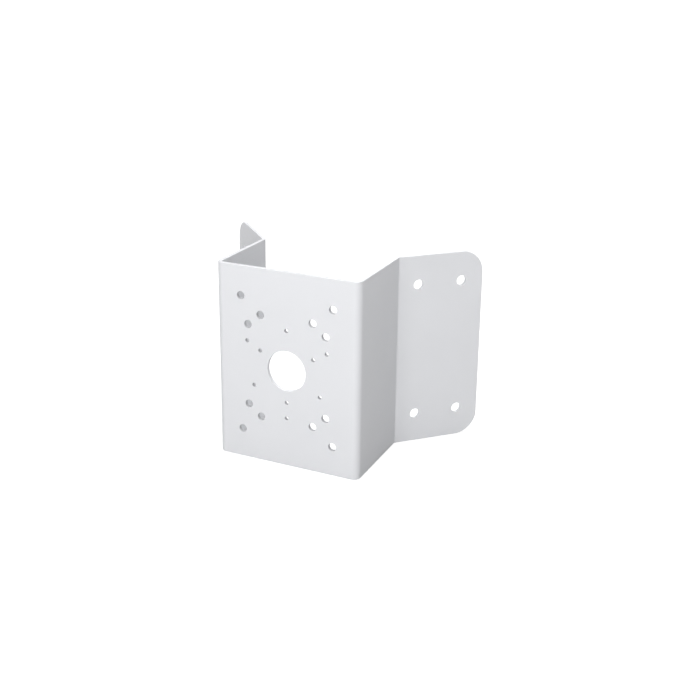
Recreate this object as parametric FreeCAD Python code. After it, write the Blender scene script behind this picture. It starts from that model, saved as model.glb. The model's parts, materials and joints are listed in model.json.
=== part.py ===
"""Corner mount bracket for a security camera, folded from one powder-coated steel sheet.

In plan the sheet is a hat: a front plate that carries the camera, two webs that run back from it,
and two flanges that open out to lie on the two walls of an outside corner of a building.

The frame has X along the front plate, Y back towards the building and Z up. Its origin is the
centre of the cable hole on the outer face of the front plate. Lengths are in millimetres.
"""

import FreeCAD, Part
import os
from math import cos, radians, sin, tan

Vector = FreeCAD.Vector

# Sheet: 3 mm steel with its powder coat, its inside bend radius, and the break on every cut edge
SHEET_THICKNESS = 3.2
BEND_RADIUS = 3.0
EDGE_BREAK = 0.4

# Folded shape, measured to the corners that the faces would have without their bend radii
HEIGHT = 170.0
PLATE_WIDTH = 130.0
WEB_DEPTH = 80.0
FLANGE_LENGTH = 80.0
FLANGE_CORNER_RADIUS = 20.0
BUILDING_CORNER_ANGLE = 90.0

# Cable hole and screw holes of the front plate, on two rectangles and a circle about its centre
CABLE_HOLE_DIAMETER = 35.0
SCREW_HOLE_DIAMETER = 7.0
OUTER_RECTANGLE_WIDTH = 83.5
OUTER_RECTANGLE_HEIGHT = 118.5
INNER_RECTANGLE_WIDTH = 47.5
INNER_RECTANGLE_HEIGHT = 90.0
SCREW_CIRCLE_DIAMETER = 100.0
SCREW_CIRCLE_TURN = 45.0

# Small screw holes of the front plate, three to a circle, the middle circle turned half a step
SMALL_HOLE_DIAMETER = 3.5
INNER_SMALL_CIRCLE_DIAMETER = 56.0
MIDDLE_SMALL_CIRCLE_DIAMETER = 70.0
OUTER_SMALL_CIRCLE_DIAMETER = 84.0
SMALL_CIRCLE_TURN = 30.0
MIDDLE_SMALL_CIRCLE_TURN = 90.0

# Wall screw holes, one near each corner of each flange
WALL_HOLE_DIAMETER = 9.0
WALL_HOLE_TO_FOLD = 20.0
WALL_HOLE_TO_END = 20.0
WALL_HOLE_TO_TOP_OR_BOTTOM = 25.75

# Points nearer than this are one point, and faces whose normals are more alike join smoothly
SAME_POINT = 0.001
SMOOTH_JOIN = 0.99

# Each wall leaves the building corner at half its angle, and each flange lies along its wall
half_corner = radians(BUILDING_CORNER_ANGLE / 2)
along_flange = Vector(sin(half_corner), cos(half_corner), 0)
out_of_wall = Vector(cos(half_corner), -sin(half_corner), 0)

# Where the building side of the sheet folds and ends, on the right of the bracket
plate_fold = Vector(PLATE_WIDTH / 2 - SHEET_THICKNESS, SHEET_THICKNESS, 0)
flange_fold = Vector(plate_fold.x, WEB_DEPTH, 0)
flange_end = flange_fold + along_flange * FLANGE_LENGTH


def mirrored(point):
    """The same point on the left of the bracket."""
    return Vector(-point.x, point.y, point.z)


def rounded_wire(points, radii):
    """A wire along the points, with every corner between its ends rounded to its radius."""
    edges = []
    start = points[0]
    for before, corner, after, radius in zip(points, points[1:], points[2:], radii):
        back = (before - corner).normalize()
        ahead = (after - corner).normalize()
        half_angle = back.getAngle(ahead) / 2
        inwards = (back + ahead).normalize()
        arc_start = corner + back * (radius / tan(half_angle))
        arc_end = corner + ahead * (radius / tan(half_angle))
        arc_middle = corner + inwards * (radius / sin(half_angle) - radius)
        edges.append(Part.LineSegment(start, arc_start).toShape())
        edges.append(Part.Arc(arc_start, arc_middle, arc_end).toShape())
        start = arc_end
    edges.append(Part.LineSegment(start, points[-1]).toShape())
    return Part.Wire(edges)


def folded_sheet():
    """The sheet after its four folds, before any hole or rounded corner."""
    right_side = [plate_fold, flange_fold, flange_end]
    left_side = [mirrored(point) for point in reversed(right_side)]
    inside = BEND_RADIUS
    outside = BEND_RADIUS + SHEET_THICKNESS
    building_side = rounded_wire(left_side + right_side, [outside, inside, inside, outside])
    section = building_side.makeOffset2D(SHEET_THICKNESS, fill=True, openResult=True)
    section.translate(Vector(0, 0, -HEIGHT / 2))
    return section.extrude(Vector(0, 0, HEIGHT))


def round_flange_corners(sheet):
    """Round the outer corners of both flanges, on the edges that run through the sheet there."""
    end_middle = flange_end + out_of_wall * (SHEET_THICKNESS / 2)
    corners = []
    for edge in sheet.Edges:
        centre = edge.CenterOfMass
        in_plan = Vector(abs(centre.x), centre.y, 0)
        if in_plan.distanceToPoint(end_middle) < SAME_POINT:
            corners.append(edge)
    return sheet.makeFillet(FLANGE_CORNER_RADIUS, corners)


def hole(point, direction, diameter):
    """A round cutter that passes through the sheet at a point of its face."""
    start = point - direction * SHEET_THICKNESS
    return Part.makeCylinder(diameter / 2, 3 * SHEET_THICKNESS, start, direction)


def rectangle_points(width, height):
    """The corners of an upright rectangle about the middle of the front plate."""
    return [Vector(x, 0, z) for x in (-width / 2, width / 2) for z in (-height / 2, height / 2)]


def circle_points(diameter, count, turn):
    """Points spaced evenly round a circle about the middle of the front plate."""
    angles = [radians(turn + 360 * number / count) for number in range(count)]
    return [Vector(cos(angle), 0, sin(angle)) * (diameter / 2) for angle in angles]


def plate_holes():
    """The cable hole and every screw hole of the front plate."""
    screws = rectangle_points(OUTER_RECTANGLE_WIDTH, OUTER_RECTANGLE_HEIGHT)
    screws += rectangle_points(INNER_RECTANGLE_WIDTH, INNER_RECTANGLE_HEIGHT)
    screws += circle_points(SCREW_CIRCLE_DIAMETER, 4, SCREW_CIRCLE_TURN)
    small = circle_points(INNER_SMALL_CIRCLE_DIAMETER, 3, SMALL_CIRCLE_TURN)
    small += circle_points(MIDDLE_SMALL_CIRCLE_DIAMETER, 3, MIDDLE_SMALL_CIRCLE_TURN)
    small += circle_points(OUTER_SMALL_CIRCLE_DIAMETER, 3, SMALL_CIRCLE_TURN)
    into_plate = Vector(0, 1, 0)
    holes = [hole(Vector(0, 0, 0), into_plate, CABLE_HOLE_DIAMETER)]
    holes += [hole(point, into_plate, SCREW_HOLE_DIAMETER) for point in screws]
    holes += [hole(point, into_plate, SMALL_HOLE_DIAMETER) for point in small]
    return holes


def wall_holes():
    """The wall screw holes of both flanges."""
    holes = []
    rise = HEIGHT / 2 - WALL_HOLE_TO_TOP_OR_BOTTOM
    for reach in (WALL_HOLE_TO_FOLD, FLANGE_LENGTH - WALL_HOLE_TO_END):
        for z in (-rise, rise):
            point = flange_fold + along_flange * reach + Vector(0, 0, z)
            holes.append(hole(point, out_of_wall, WALL_HOLE_DIAMETER))
            holes.append(hole(mirrored(point), mirrored(out_of_wall), WALL_HOLE_DIAMETER))
    return holes


def cut_edges(sheet):
    """The edges left by the cutter, where a face of the sheet meets its thickness at an angle."""
    found = []
    for edge in sheet.Edges:
        point = edge.valueAt((edge.FirstParameter + edge.LastParameter) / 2)
        faces = sheet.ancestorsOfType(edge, Part.Face)
        normals = [face.normalAt(*face.Surface.parameter(point)) for face in faces]
        if len(normals) == 2 and abs(normals[0].dot(normals[1])) < SMOOTH_JOIN:
            found.append(edge)
    return found


def corner_bracket():
    """The whole bracket: folded, rounded at the flanges' corners, drilled, its edges broken."""
    sheet = round_flange_corners(folded_sheet())
    sheet = sheet.cut(plate_holes() + wall_holes())
    return sheet.makeChamfer(EDGE_BREAK, cut_edges(sheet))


bracket = corner_bracket()
box = bracket.optimalBoundingBox(False)
print(f"bracket {box.XLength:.2f} wide, {box.YLength:.2f} deep, {box.ZLength:.2f} high")
print(f"{len(bracket.Solids)} solid of {bracket.Volume / 1000:.1f} cubic centimetres")
os.makedirs("parts", exist_ok=True)
bracket.exportStep("parts/corner_bracket.step")
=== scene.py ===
"""Corner mount bracket for a security camera: its folded sheet, its powder coat and its studio.

Lengths are in metres and angles in degrees, turned to radians where Blender asks for them. The frame
has X along the front plate, Y back towards the building and Z up, with its origin at the centre of
the cable hole on the outer face of the front plate.
"""

import json
from math import acos, ceil, cos, pi, radians, sin, tan

import bmesh
import bpy
from bpy.props import (
    FloatProperty,
    FloatVectorProperty,
    IntProperty,
    PointerProperty,
)
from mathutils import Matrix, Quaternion, Vector


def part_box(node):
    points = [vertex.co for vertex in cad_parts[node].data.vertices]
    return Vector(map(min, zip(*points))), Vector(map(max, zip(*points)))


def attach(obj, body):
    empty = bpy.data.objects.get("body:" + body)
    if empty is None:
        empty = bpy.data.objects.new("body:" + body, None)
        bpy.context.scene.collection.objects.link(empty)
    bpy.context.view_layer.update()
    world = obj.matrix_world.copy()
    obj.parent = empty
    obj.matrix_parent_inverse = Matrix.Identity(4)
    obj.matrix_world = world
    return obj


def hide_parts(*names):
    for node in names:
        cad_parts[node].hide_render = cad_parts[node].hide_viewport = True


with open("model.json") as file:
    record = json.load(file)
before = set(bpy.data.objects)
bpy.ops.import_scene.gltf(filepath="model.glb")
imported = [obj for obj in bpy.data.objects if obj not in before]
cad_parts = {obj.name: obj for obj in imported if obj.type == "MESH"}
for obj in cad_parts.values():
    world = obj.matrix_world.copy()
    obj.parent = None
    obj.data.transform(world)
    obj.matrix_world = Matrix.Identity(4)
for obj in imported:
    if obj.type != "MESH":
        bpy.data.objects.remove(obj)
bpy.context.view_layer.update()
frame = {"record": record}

bl_info = {
    "name": "Camera Corner Mount Bracket",
    "version": (1, 0, 0),
    "blender": (4, 5, 0),
    "location": "3D View > Sidebar > Bracket",
    "description": "Folds, punches and powder coats a corner mount bracket, and lights it",
    "category": "Mesh",
}

NODE = "corner_bracket"
BODY = "root"
MILLIMETRE = 0.001
UP = Vector((0, 0, 1))
RIGHT_ANGLE = radians(90)

# Points nearer than this are one point
SAME_PLACE = 0.00001
# An edge whose faces turn by more than this is sharp, and gets broken
SHARP_TURN = radians(45)
# Length of a punch, in thicknesses of the sheet
PUNCH_REACH = 3
# Full preference for the larger face when normals are weighted, in percent
LARGE_FACES_FIRST = 100
# Width of the camera's sensor, in millimetres
SENSOR_WIDTH = 36
# How many times each noise is laid over itself at half the size, which gives it finer parts
CLOUD_DETAIL = 3.0
PEEL_DETAIL = 1.0
GRAIN_DETAIL = 2.0
FIBRE_DETAIL = 2.0

# What the frame says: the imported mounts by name, and the corners of the bracket's box
mounts = {mount["name"]: mount for mount in frame["record"]["mounts"]}
lowest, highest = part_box(NODE)
cable_hole = mounts["cable_hole"]["dims"]


def linear(hex_colour):
    """The linear RGB of an sRGB colour such as #E9EBEE."""
    values = [int(hex_colour[start:start + 2], 16) / 255 for start in (1, 3, 5)]
    return [v / 12.92 if v <= 0.04045 else ((v + 0.055) / 1.055) ** 2.4 for v in values]


class SheetSizes(bpy.types.PropertyGroup):
    """The folded sheet, measured to the corners that its faces would have without bend radii."""

    thickness: FloatProperty(
        name="Thickness",
        description="Thickness of the steel with its coat on both sides",
        default=cable_hole["length_mm"] * MILLIMETRE,
        unit="LENGTH",
    )
    height: FloatProperty(
        name="Height",
        description="Height of the sheet, along its folds",
        default=highest.z - lowest.z,
        unit="LENGTH",
    )
    plate_width: FloatProperty(
        name="Plate Width",
        description="Width of the front plate, over both webs",
        default=0.130,
        unit="LENGTH",
    )
    web_depth: FloatProperty(
        name="Web Depth",
        description="Depth from the outer face of the front plate to the folds of the flanges",
        default=0.080,
        unit="LENGTH",
    )
    flange_length: FloatProperty(
        name="Flange Length",
        description="Length of each wall flange, from its fold to its end",
        default=0.080,
        unit="LENGTH",
    )
    flange_turn: FloatProperty(
        name="Flange Turn",
        description="How far each flange turns outwards from its web",
        default=radians(45),
        subtype="ANGLE",
    )
    flange_corner_radius: FloatProperty(
        name="Flange Corner Radius",
        description="Radius of the rounded corners at the ends of the flanges",
        default=0.020,
        unit="LENGTH",
    )
    bend_radius: FloatProperty(
        name="Bend Radius",
        description="Inside radius of the four folds",
        default=0.003,
        unit="LENGTH",
    )
    outline_break: FloatProperty(
        name="Outline Break",
        description="How far back the edges round the outline are deburred on each side",
        default=0.00045,
        unit="LENGTH",
        precision=5,
    )
    outline_crown: FloatProperty(
        name="Outline Crown",
        description="Form of those edges, from 0.25 for a flat chamfer to 0.5 for a full round",
        default=0.3,
        min=0.25,
        max=0.5,
        subtype="FACTOR",
    )
    rim_radius: FloatProperty(
        name="Rim Radius",
        description="Radius that the coat gives to the rim of each hole",
        default=0.00015,
        unit="LENGTH",
        precision=5,
    )
    rim_crown: FloatProperty(
        name="Rim Crown",
        description="Form of the rims, from 0.25 for a flat chamfer to 0.5 for a full round",
        default=0.5,
        min=0.25,
        max=0.5,
        subtype="FACTOR",
    )
    edge_steps: IntProperty(
        name="Edge Steps",
        description="Facets round each broken edge",
        default=3,
        min=1,
    )
    facet_depth: FloatProperty(
        name="Facet Depth",
        description="Furthest that a facet of a bend or a hole may lie from the true arc",
        default=0.00001,
        unit="LENGTH",
        precision=6,
    )


class HoleTurns(bpy.types.PropertyGroup):
    """How far each circle of screw holes is turned from a hole straight to the right."""

    four_screw_circle: FloatProperty(
        name="Four Screw Circle",
        description="Turn of the circle of four screw holes",
        default=radians(45),
        subtype="ANGLE",
    )
    inner_small_circle: FloatProperty(
        name="Inner Small Circle",
        description="Turn of the innermost circle of three small holes",
        default=radians(30),
        subtype="ANGLE",
    )
    middle_small_circle: FloatProperty(
        name="Middle Small Circle",
        description="Turn of the middle circle of three small holes",
        default=radians(90),
        subtype="ANGLE",
    )
    outer_small_circle: FloatProperty(
        name="Outer Small Circle",
        description="Turn of the outermost circle of three small holes",
        default=radians(30),
        subtype="ANGLE",
    )
    wall_holes: FloatProperty(
        name="Wall Holes",
        description="Turn of the pairs of wall holes, which stand one above the other",
        default=radians(90),
        subtype="ANGLE",
    )


class PowderCoat(bpy.types.PropertyGroup):
    """The satin polyester powder coat."""

    colour: FloatVectorProperty(
        name="Colour",
        description="Colour of the coat where it is at its full thickness",
        default=linear("#E2E3E6"),
        subtype="COLOR",
        min=0,
        max=1,
    )
    thin_colour: FloatVectorProperty(
        name="Thin Colour",
        description="Colour where the powder lies a little thinner over the steel",
        default=linear("#DEDFE2"),
        subtype="COLOR",
        min=0,
        max=1,
    )
    # Painted shade: this darker colour on the walls of the narrow holes stands in for the shade that
    # falls deep in them
    hole_colour: FloatVectorProperty(
        name="Hole Colour",
        description="Colour of the walls of the narrow holes, which the powder hardly enters",
        default=linear("#C6C7CA"),
        subtype="COLOR",
        min=0,
        max=1,
    )
    # Painted shade as well: the darker end of the hole walls' random drift in tone
    thin_hole_colour: FloatVectorProperty(
        name="Thin Hole Colour",
        description="Colour of those walls where they took the least powder",
        default=linear("#BEBFC2"),
        subtype="COLOR",
        min=0,
        max=1,
    )
    # Holes narrower than this get the painted shade on their walls
    narrow_hole: FloatProperty(
        name="Narrow Hole",
        description="Radius under which a hole counts as narrow",
        default=0.004,
        unit="LENGTH",
    )
    roughness: FloatProperty(
        name="Roughness",
        description="Roughness of the cured coat",
        default=0.48,
        min=0,
        max=1,
        subtype="FACTOR",
    )
    roughness_drift: FloatProperty(
        name="Roughness Drift",
        description="How far the roughness drifts either way with the coat's thickness",
        default=0.04,
        min=0,
        max=0.5,
        subtype="FACTOR",
    )
    refraction: FloatProperty(
        name="Refraction",
        description="Index of refraction of the polyester",
        default=1.5,
        min=1,
    )
    peel_width: FloatProperty(
        name="Orange Peel Width",
        description="Distance from one swell of the coat to the next",
        default=0.0028,
        unit="LENGTH",
    )
    peel_depth: FloatProperty(
        name="Orange Peel Depth",
        description="Height of the swells that the powder keeps when it flows out",
        default=0.00003,
        unit="LENGTH",
        precision=6,
    )
    grain_width: FloatProperty(
        name="Grain Width",
        description="Width of the powder's grain, coarser than it really is so that it shows",
        default=0.0006,
        unit="LENGTH",
        precision=5,
    )
    grain_depth: FloatProperty(
        name="Grain Depth",
        description="Depth of the powder's grain",
        default=0.000008,
        unit="LENGTH",
        precision=6,
    )
    cloud_width: FloatProperty(
        name="Cloud Width",
        description="Width of the soft clouds that the spray gun leaves in the coat's thickness",
        default=0.035,
        unit="LENGTH",
    )


class Studio(bpy.types.PropertyGroup):
    """The camera, its lights and the floor."""

    aim: FloatVectorProperty(
        name="Aim",
        description="Point that the camera looks at",
        default=(0.0226, 0.0737, 0.0607),
        subtype="TRANSLATION",
    )
    distance: FloatProperty(
        name="Distance",
        description="Distance from the aim to the camera",
        default=0.9315,
        unit="LENGTH",
    )
    azimuth: FloatProperty(
        name="Azimuth",
        description="How far the camera stands to the right of the front plate's middle",
        default=radians(24.42),
        subtype="ANGLE",
    )
    elevation: FloatProperty(
        name="Elevation",
        description="How far the camera looks down",
        default=radians(17.47),
        subtype="ANGLE",
    )
    roll: FloatProperty(
        name="Roll",
        description="Turn of the camera about its own line of sight",
        default=radians(0.70),
        subtype="ANGLE",
    )
    lens: FloatProperty(
        name="Focal Length",
        description="Focal length on a sensor 36 mm wide, in millimetres",
        default=56.33,
        unit="CAMERA",
    )
    lens_shift: FloatProperty(
        name="Lens Shift",
        description="Shift of the picture up or down, as a share of its width",
        default=-0.1,
    )
    light_aim: FloatVectorProperty(
        name="Light Aim",
        description="Point that every soft box faces",
        default=(0, 0.05, 0),
        subtype="TRANSLATION",
    )
    overhead_place: FloatVectorProperty(
        name="Overhead Place",
        description="Place of the soft box straight above the bracket",
        default=(0, 0.05, 1.3),
        subtype="TRANSLATION",
    )
    overhead_size: FloatProperty(
        name="Overhead Size",
        description="Side of the soft box above the bracket",
        default=1.4,
        unit="LENGTH",
    )
    overhead_power: FloatProperty(
        name="Overhead Power",
        description="Power of the soft box above the bracket",
        default=23.0,
        unit="POWER",
    )
    front_place: FloatVectorProperty(
        name="Front Place",
        description="Place of the soft box low in front of the plate",
        default=(0.3, -1.6, 0.25),
        subtype="TRANSLATION",
    )
    front_size: FloatProperty(
        name="Front Size",
        description="Side of the soft box in front of the plate",
        default=1.0,
        unit="LENGTH",
    )
    front_power: FloatProperty(
        name="Front Power",
        description="Power of the soft box in front of the plate",
        default=20.5,
        unit="POWER",
    )
    back_place: FloatVectorProperty(
        name="Back Place",
        description="Place of the large soft box behind the flanges",
        default=(0, 2.2, 1.0),
        subtype="TRANSLATION",
    )
    back_size: FloatProperty(
        name="Back Size",
        description="Side of the soft box behind the flanges",
        default=2.0,
        unit="LENGTH",
    )
    back_power: FloatProperty(
        name="Back Power",
        description="Power of the soft box behind the flanges",
        default=27.3,
        unit="POWER",
    )
    floor_size: FloatProperty(
        name="Floor Size",
        description="Side of the square sheet of paper",
        default=20.0,
        unit="LENGTH",
    )
    floor_colour: FloatVectorProperty(
        name="Floor Colour",
        description="Colour of the paper floor before the light shines through it",
        default=linear("#B5B5B5"),
        subtype="COLOR",
        min=0,
        max=1,
    )
    fibre_colour: FloatVectorProperty(
        name="Fibre Colour",
        description="Colour of the paper's fibres",
        default=linear("#B1B1B1"),
        subtype="COLOR",
        min=0,
        max=1,
    )
    fibre_width: FloatProperty(
        name="Fibre Width",
        description="Width of the paper's fibres, coarser than they really are so that they show",
        default=0.0008,
        unit="LENGTH",
        precision=5,
    )
    floor_roughness: FloatProperty(
        name="Floor Roughness",
        description="Roughness of the uncoated paper",
        default=0.9,
        min=0,
        max=1,
        subtype="FACTOR",
    )
    floor_glow: FloatProperty(
        name="Floor Glow",
        description="Light that comes through the paper from below, onto the bracket",
        default=0.23,
    )
    floor_white: FloatProperty(
        name="Floor White",
        description="How much brighter than that the paper looks",
        default=0.5,
    )
    far_glow: FloatProperty(
        name="Far Glow",
        description="Further light from the paper far from the bracket, like a lit sweep",
        default=0.77,
    )
    glow_start: FloatProperty(
        name="Glow Start",
        description="Distance from the bracket where the far glow begins",
        default=0.6,
        unit="LENGTH",
    )
    glow_end: FloatProperty(
        name="Glow End",
        description="Distance from the bracket where the far glow is whole",
        default=1.8,
        unit="LENGTH",
    )


def deselect_all():
    """Leave nothing selected, neither the frame's nodes nor the last piece."""
    bpy.ops.object.select_all(action="DESELECT")


def select_edges(piece, test):
    """In edit mode, select only the edges whose middle passes the test."""
    bpy.ops.mesh.select_mode(type="EDGE")
    bpy.ops.mesh.select_all(action="DESELECT")
    mesh = bmesh.from_edit_mesh(piece.data)
    for edge in mesh.edges:
        middle = (edge.verts[0].co + edge.verts[1].co) / 2
        edge.select_set(test(middle))
    bmesh.update_edit_mesh(piece.data)


def use_modifier(piece, kind, **settings):
    """Add a modifier with its settings to the active piece, and apply it."""
    bpy.ops.object.modifier_add(type=kind)
    modifier = piece.modifiers[-1]
    for name, value in settings.items():
        setattr(modifier, name, value)
    bpy.ops.object.modifier_apply(modifier=modifier.name)


def arc_steps(sizes, radius, angle):
    """How many facets an arc needs to stay within the facet depth of its true form."""
    return ceil(angle / (2 * acos(1 - sizes.facet_depth / radius)))


def bend(angle, centre, steps):
    """Carry the selected end of the sheet round an upright axis, anticlockwise seen from above."""
    bpy.ops.mesh.spin(steps=steps, angle=-angle, center=centre, axis=UP)


def run_on(direction, length):
    """Carry the selected end of the sheet straight on."""
    bpy.ops.mesh.extrude_region_move(TRANSFORM_OT_translate={"value": direction * length})


def fold_right_half(sizes):
    """Draw the building side of the right half, from the plate to the flange, with no thickness."""
    outside_radius = sizes.bend_radius + sizes.thickness
    plate_flat = sizes.plate_width / 2 - outside_radius
    flange_tangent = outside_radius * tan(sizes.flange_turn / 2)
    web_start = Vector((plate_flat + sizes.bend_radius, outside_radius, 0))
    web_end = Vector((web_start.x, sizes.web_depth - flange_tangent, 0))
    along_flange = Vector((sin(sizes.flange_turn), cos(sizes.flange_turn), 0))

    # A plane stood up where the plate's building side is, and brought to the size of its right half
    bpy.ops.mesh.primitive_plane_add(
        size=1, location=(plate_flat / 2, sizes.thickness, 0), rotation=(RIGHT_ANGLE, 0, 0)
    )
    sheet = bpy.context.object
    bpy.ops.object.mode_set(mode="EDIT")
    bpy.ops.transform.resize(value=(plate_flat, 1, sizes.height))
    bpy.ops.object.mode_set(mode="OBJECT")
    bpy.ops.object.transform_apply(location=True, rotation=True, scale=True)

    # Its outer edge is carried round the first fold, along the web, round the second and out
    bpy.ops.object.mode_set(mode="EDIT")
    select_edges(sheet, lambda middle: middle.x > plate_flat - SAME_PLACE)
    plate_bend_centre = Vector((plate_flat, outside_radius, 0))
    bend(RIGHT_ANGLE, plate_bend_centre, arc_steps(sizes, outside_radius, RIGHT_ANGLE))
    run_on(Vector((0, 1, 0)), web_end.y - web_start.y)
    flange_bend_centre = web_end + Vector((outside_radius, 0, 0))
    steps = arc_steps(sizes, outside_radius, sizes.flange_turn)
    bend(-sizes.flange_turn, flange_bend_centre, steps)
    run_on(along_flange, sizes.flange_length - flange_tangent)
    bpy.ops.mesh.bevel(
        affect="VERTICES",
        offset=sizes.flange_corner_radius,
        segments=arc_steps(sizes, sizes.flange_corner_radius, RIGHT_ANGLE),
        clamp_overlap=True,
    )
    bpy.ops.object.mode_set(mode="OBJECT")
    return sheet


def mirror_to_left(sheet):
    """Give the sheet its left half, with the plate in one piece and its faces to the front."""
    use_modifier(sheet, "MIRROR", merge_threshold=SAME_PLACE)
    bpy.ops.object.mode_set(mode="EDIT")
    select_edges(sheet, lambda middle: abs(middle.x) < SAME_PLACE and abs(middle.z) < SAME_PLACE)
    bpy.ops.mesh.dissolve_edges(use_verts=True)
    bpy.ops.mesh.select_all(action="SELECT")
    bpy.ops.mesh.remove_doubles(threshold=SAME_PLACE)
    bpy.ops.mesh.normals_make_consistent(inside=False)
    # The thickness grows on the side that the faces look to
    mesh = bmesh.from_edit_mesh(sheet.data)
    plate = min(mesh.faces, key=lambda face: face.calc_center_median().y)
    if plate.normal.y > 0:
        bpy.ops.mesh.flip_normals()
    bpy.ops.object.mode_set(mode="OBJECT")


def hole_points(mount, turn):
    """The centres of a mount's holes, counted on its own face."""
    centre = Vector(mount["pos_m"])
    across = UP.cross(Vector(mount["axis"]))
    dims = mount["dims"]
    if "pcd_mm" in dims:
        radius = dims["pcd_mm"] / 2 * MILLIMETRE
        angles = [turn + 2 * pi * number / dims["count"] for number in range(dims["count"])]
        return [centre + (across * cos(angle) + UP * sin(angle)) * radius for angle in angles]
    half_width = dims["spacing_x_mm"] / 2 * MILLIMETRE
    half_height = dims["spacing_y_mm"] / 2 * MILLIMETRE
    return [
        centre + across * side * half_width + UP * rise * half_height
        for side in (-1, 1)
        for rise in (-1, 1)
    ]


def add_punch(sizes, point, axis, radius, finish):
    """A round punch through the sheet at a point of its face, which gives its wall a finish."""
    bpy.ops.mesh.primitive_cylinder_add(
        vertices=arc_steps(sizes, radius, 2 * pi),
        radius=radius,
        depth=PUNCH_REACH * sizes.thickness,
        location=point,
        rotation=Vector(axis).to_track_quat("Z", "Y").to_euler(),
    )
    punch = bpy.context.object
    punch.data.materials.append(finish)
    return punch


def punch_holes(sheet, sizes, turns, full_coat, shaded_hole_coat, narrow_hole):
    """Cut every hole through the sheet, and give the walls of the narrow ones the coat with painted
    shade.
    """
    hole = mounts["cable_hole"]
    radius = hole["dims"]["r_mm"] * MILLIMETRE
    punches = [add_punch(sizes, Vector(hole["pos_m"]), hole["axis"], radius, full_coat)]
    for name, mount in mounts.items():
        if mount["kind"] == "bolt_pattern":
            # Each circle's turn has the name of its mount, and the flanges' holes share one
            turn = getattr(turns, name, turns.wall_holes)
            radius = mount["dims"]["hole_r_mm"] * MILLIMETRE
            # The walls of the narrow holes get the coat with painted shade, darker colours standing
            # in for the shade deep in them
            finish = shaded_hole_coat if radius < narrow_hole else full_coat
            for point in hole_points(mount, turn):
                punches.append(add_punch(sizes, point, mount["axis"], radius, finish))

    deselect_all()
    for punch in punches:
        punch.select_set(True)
    bpy.context.view_layer.objects.active = punches[0]
    bpy.ops.object.join()
    all_punches = bpy.context.object

    deselect_all()
    sheet.select_set(True)
    bpy.context.view_layer.objects.active = sheet
    use_modifier(
        sheet,
        "BOOLEAN",
        operation="DIFFERENCE",
        solver="EXACT",
        material_mode="TRANSFER",
        object=all_punches,
    )
    bpy.data.objects.remove(all_punches)


def round_edges(sheet, width, crown, steps):
    """Break every edge that is still sharp.

    Nothing is clamped, because one short facet of an arc would then thin all the edges.
    """
    use_modifier(
        sheet,
        "BEVEL",
        limit_method="ANGLE",
        angle_limit=SHARP_TURN,
        width=width,
        profile=crown,
        segments=steps,
        loop_slide=False,
        use_clamp_overlap=False,
    )


def add_node(tree, kind, settings=None, **inputs):
    """Add a shader node with its settings, and give each input its value or its link."""
    node = tree.nodes.new(kind)
    for name, value in (settings or {}).items():
        setattr(node, name, value)
    sockets = {socket.identifier.replace(" ", "_"): socket for socket in node.inputs}
    for name, value in inputs.items():
        socket = sockets[name]
        if isinstance(value, bpy.types.NodeSocket):
            tree.links.new(value, socket)
        else:
            socket.default_value = value
    return node


def new_material(name):
    """An empty material and its node tree."""
    material = bpy.data.materials.new(name)
    material.use_nodes = True
    material.node_tree.nodes.clear()
    return material, material.node_tree


def powder_coated_steel(name, coat, thick_colour, thin_colour):
    """Steel with a sprayed and baked satin polyester powder coat.

    The eye sees a soft, even sheen on a cool white. Up close the surface swells a little like orange
    peel, carries a fine grain, and its tone drifts faintly where the powder fell thicker or thinner.
    With the darker hole colours it paints shade onto the walls of the narrow holes, which stands in
    for the shade deep in them. Real grains of powder are about 0.05 mm wide. They are drawn at
    0.6 mm, because finer ones would not show.
    """
    material, tree = new_material(name)
    place = add_node(tree, "ShaderNodeTexCoord").outputs["Object"]

    clouds = add_node(
        tree, "ShaderNodeTexNoise", Vector=place, Scale=1 / coat.cloud_width, Detail=CLOUD_DETAIL
    )
    tone = add_node(
        tree,
        "ShaderNodeMix",
        {"data_type": "RGBA"},
        Factor_Float=clouds.outputs["Fac"],
        A_Color=(*thin_colour, 1),
        B_Color=(*thick_colour, 1),
    )

    sheen = add_node(
        tree,
        "ShaderNodeMapRange",
        Value=clouds.outputs["Fac"],
        To_Min=coat.roughness - coat.roughness_drift,
        To_Max=coat.roughness + coat.roughness_drift,
    )

    peel = add_node(
        tree, "ShaderNodeTexNoise", Vector=place, Scale=1 / coat.peel_width, Detail=PEEL_DETAIL
    )
    grain = add_node(
        tree, "ShaderNodeTexNoise", Vector=place, Scale=1 / coat.grain_width, Detail=GRAIN_DETAIL
    )
    swell = add_node(
        tree, "ShaderNodeBump", Height=peel.outputs["Fac"], Distance=coat.peel_depth
    )
    skin = add_node(
        tree,
        "ShaderNodeBump",
        Height=grain.outputs["Fac"],
        Distance=coat.grain_depth,
        Normal=swell.outputs["Normal"],
    )
    shader = add_node(
        tree,
        "ShaderNodeBsdfPrincipled",
        Base_Color=tone.outputs["Result"],
        Roughness=sheen.outputs["Result"],
        IOR=coat.refraction,
        Normal=skin.outputs["Normal"],
    )
    add_node(tree, "ShaderNodeOutputMaterial", Surface=shader.outputs["BSDF"])
    return material


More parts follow.
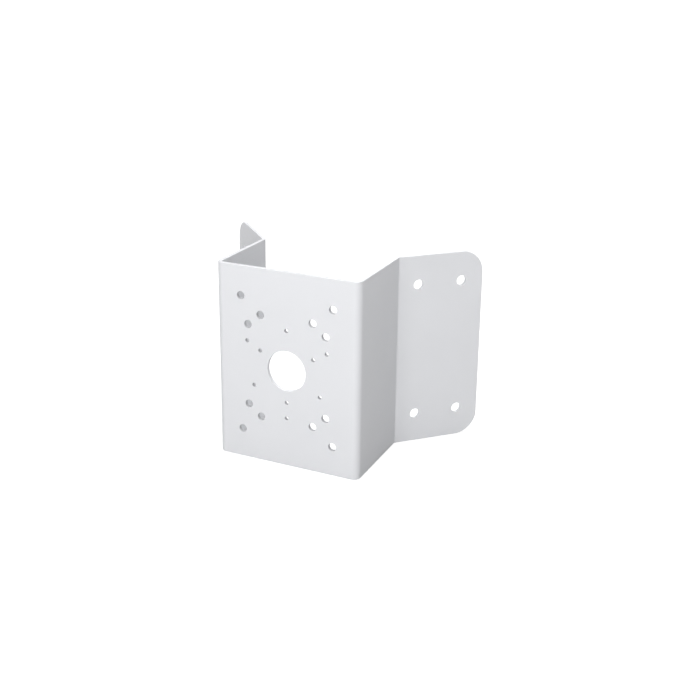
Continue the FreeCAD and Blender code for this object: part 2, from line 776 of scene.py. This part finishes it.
class BRACKET_OT_make_sheet(bpy.types.Operator):
    """Fold, punch, deburr and powder coat the bracket's one sheet"""

    bl_idname = "bracket.make_sheet"
    bl_label = "Make Sheet"

    def execute(self, context):
        sizes = context.scene.bracket_sheet
        coat = context.scene.bracket_coat
        full_coat = powder_coated_steel(
            "powder-coated steel", coat, coat.colour, coat.thin_colour
        )
        # The second coat has darker colours that paint shade onto the walls of the narrow holes
        shaded_hole_coat = powder_coated_steel(
            "thinly powder-coated steel", coat, coat.hole_colour, coat.thin_hole_colour
        )

        deselect_all()
        sheet = fold_right_half(sizes)
        mirror_to_left(sheet)
        use_modifier(
            sheet, "SOLIDIFY", thickness=sizes.thickness, offset=1, use_even_offset=True
        )
        round_edges(sheet, sizes.outline_break, sizes.outline_crown, sizes.edge_steps)
        sheet.data.materials.append(full_coat)
        turns = context.scene.bracket_turns
        punch_holes(sheet, sizes, turns, full_coat, shaded_hole_coat, coat.narrow_hole)
        round_edges(sheet, sizes.rim_radius, sizes.rim_crown, sizes.edge_steps)
        bpy.ops.object.shade_smooth()
        use_modifier(sheet, "WEIGHTED_NORMAL", mode="FACE_AREA", weight=LARGE_FACES_FIRST)

        sheet.name = sheet.data.name = "folded_sheet"
        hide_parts(NODE)
        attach(sheet, BODY)
        return {"FINISHED"}


def soft_box(name, place, aim, size, power):
    """A square soft box at a place, turned to its aim and hidden from the camera."""
    turn = (Vector(aim) - Vector(place)).to_track_quat("-Z", "Y").to_euler()
    bpy.ops.object.light_add(type="AREA", location=place, rotation=turn)
    light = bpy.context.object
    light.name = name
    light.data.shape = "SQUARE"
    light.data.size = size
    light.data.energy = power
    light.visible_camera = False


def white_paper(studio):
    """Uncoated white paper, lit from below as on a light table.

    The eye sees plain white with no gloss, and fibres so faint that they are gone at a step's
    distance. Real fibres are about 0.03 mm wide. They are drawn at 0.8 mm, because finer ones would
    not show. The paper looks brighter to the camera than it shines on the bracket, and it shines
    more from afar, so that it is white without taking the shade out of the folds.
    """
    material, tree = new_material("uncoated paper")
    place = add_node(tree, "ShaderNodeTexCoord").outputs["Object"]
    fibres = add_node(
        tree,
        "ShaderNodeTexNoise",
        Vector=place,
        Scale=1 / studio.fibre_width,
        Detail=FIBRE_DETAIL,
    )
    tone = add_node(
        tree,
        "ShaderNodeMix",
        {"data_type": "RGBA"},
        Factor_Float=fibres.outputs["Fac"],
        A_Color=(*studio.fibre_colour, 1),
        B_Color=(*studio.floor_colour, 1),
    )
    distance = add_node(tree, "ShaderNodeVectorMath", {"operation": "LENGTH"}, Vector=place)
    far = add_node(
        tree,
        "ShaderNodeMapRange",
        {"interpolation_type": "SMOOTHSTEP"},
        Value=distance.outputs["Value"],
        From_Min=studio.glow_start,
        From_Max=studio.glow_end,
        To_Max=studio.far_glow,
    )
    rays = add_node(tree, "ShaderNodeLightPath")
    near = add_node(
        tree,
        "ShaderNodeMapRange",
        Value=rays.outputs["Is Camera Ray"],
        To_Min=studio.floor_glow,
        To_Max=studio.floor_glow + studio.floor_white,
    )
    glow = add_node(
        tree, "ShaderNodeMath", Value=near.outputs["Result"], Value_001=far.outputs["Result"]
    )
    shader = add_node(
        tree,
        "ShaderNodeBsdfPrincipled",
        Base_Color=tone.outputs["Result"],
        Roughness=studio.floor_roughness,
        Specular_IOR_Level=0.0,
        Emission_Color=(1, 1, 1, 1),
        Emission_Strength=glow.outputs["Value"],
    )
    add_node(tree, "ShaderNodeOutputMaterial", Surface=shader.outputs["BSDF"])
    return material


class BRACKET_OT_make_stage(bpy.types.Operator):
    """Set up the camera, the soft boxes, the white room and the paper floor"""

    bl_idname = "bracket.make_stage"
    bl_label = "Make Stage"

    def execute(self, context):
        studio = context.scene.bracket_studio
        deselect_all()

        line_of_sight = Vector((
            -sin(studio.azimuth) * cos(studio.elevation),
            cos(studio.azimuth) * cos(studio.elevation),
            -sin(studio.elevation),
        ))
        upright = line_of_sight.to_track_quat("-Z", "Y")
        turn = upright @ Quaternion((0, 0, 1), studio.roll)
        place = Vector(studio.aim) - line_of_sight * studio.distance
        bpy.ops.object.camera_add(location=place, rotation=turn.to_euler())
        camera = bpy.context.object
        camera.name = "camera"
        camera.data.sensor_width = SENSOR_WIDTH
        camera.data.lens = studio.lens
        camera.data.shift_y = studio.lens_shift
        context.scene.camera = camera

        for side in ("overhead", "front", "back"):
            soft_box(
                side + "_soft_box",
                getattr(studio, side + "_place"),
                studio.light_aim,
                getattr(studio, side + "_size"),
                getattr(studio, side + "_power"),
            )

        bpy.ops.mesh.primitive_plane_add(size=studio.floor_size, location=(0, 0, lowest.z))
        floor = bpy.context.object
        floor.name = "floor"
        bpy.ops.object.transform_apply(location=True, rotation=True, scale=True)
        floor.data.materials.append(white_paper(studio))

        world = bpy.data.worlds.new("white room")
        world.use_nodes = True
        tree = world.node_tree
        tree.nodes.clear()
        rays = add_node(tree, "ShaderNodeLightPath")
        room = add_node(
            tree, "ShaderNodeBackground", Color=(1, 1, 1, 1), Strength=rays.outputs["Is Camera Ray"]
        )
        add_node(tree, "ShaderNodeOutputWorld", Surface=room.outputs["Background"])
        context.scene.world = world
        context.scene.view_settings.view_transform = "Standard"
        return {"FINISHED"}


class BRACKET_PT_panel(bpy.types.Panel):
    """Sizes, coat and studio of the bracket, with a button for each step"""

    bl_idname = "BRACKET_PT_panel"
    bl_label = "Corner Mount Bracket"
    bl_space_type = "VIEW_3D"
    bl_region_type = "UI"
    bl_category = "Bracket"

    def draw(self, context):
        scene = context.scene
        steps = (
            (BRACKET_OT_make_sheet, (scene.bracket_sheet, scene.bracket_turns, scene.bracket_coat)),
            (BRACKET_OT_make_stage, (scene.bracket_studio,)),
        )
        for operator, groups in steps:
            box = self.layout.box()
            for group in groups:
                for name in group.__annotations__:
                    box.prop(group, name)
            box.operator(operator.bl_idname)


GROUPS = {
    "bracket_sheet": SheetSizes,
    "bracket_turns": HoleTurns,
    "bracket_coat": PowderCoat,
    "bracket_studio": Studio,
}
CLASSES = (*GROUPS.values(), BRACKET_OT_make_sheet, BRACKET_OT_make_stage, BRACKET_PT_panel)


def register():
    """Make the classes known to Blender, and give the scene its groups of values."""
    for cls in CLASSES:
        bpy.utils.register_class(cls)
    for name, group in GROUPS.items():
        setattr(bpy.types.Scene, name, PointerProperty(type=group))


def unregister():
    """Take the groups and the classes away again."""
    for name in GROUPS:
        delattr(bpy.types.Scene, name)
    for cls in reversed(CLASSES):
        bpy.utils.unregister_class(cls)


def main():
    """Make the sheet and its stage."""
    register()
    bpy.ops.bracket.make_sheet()
    bpy.ops.bracket.make_stage()


if __name__ == "__main__":
    main()
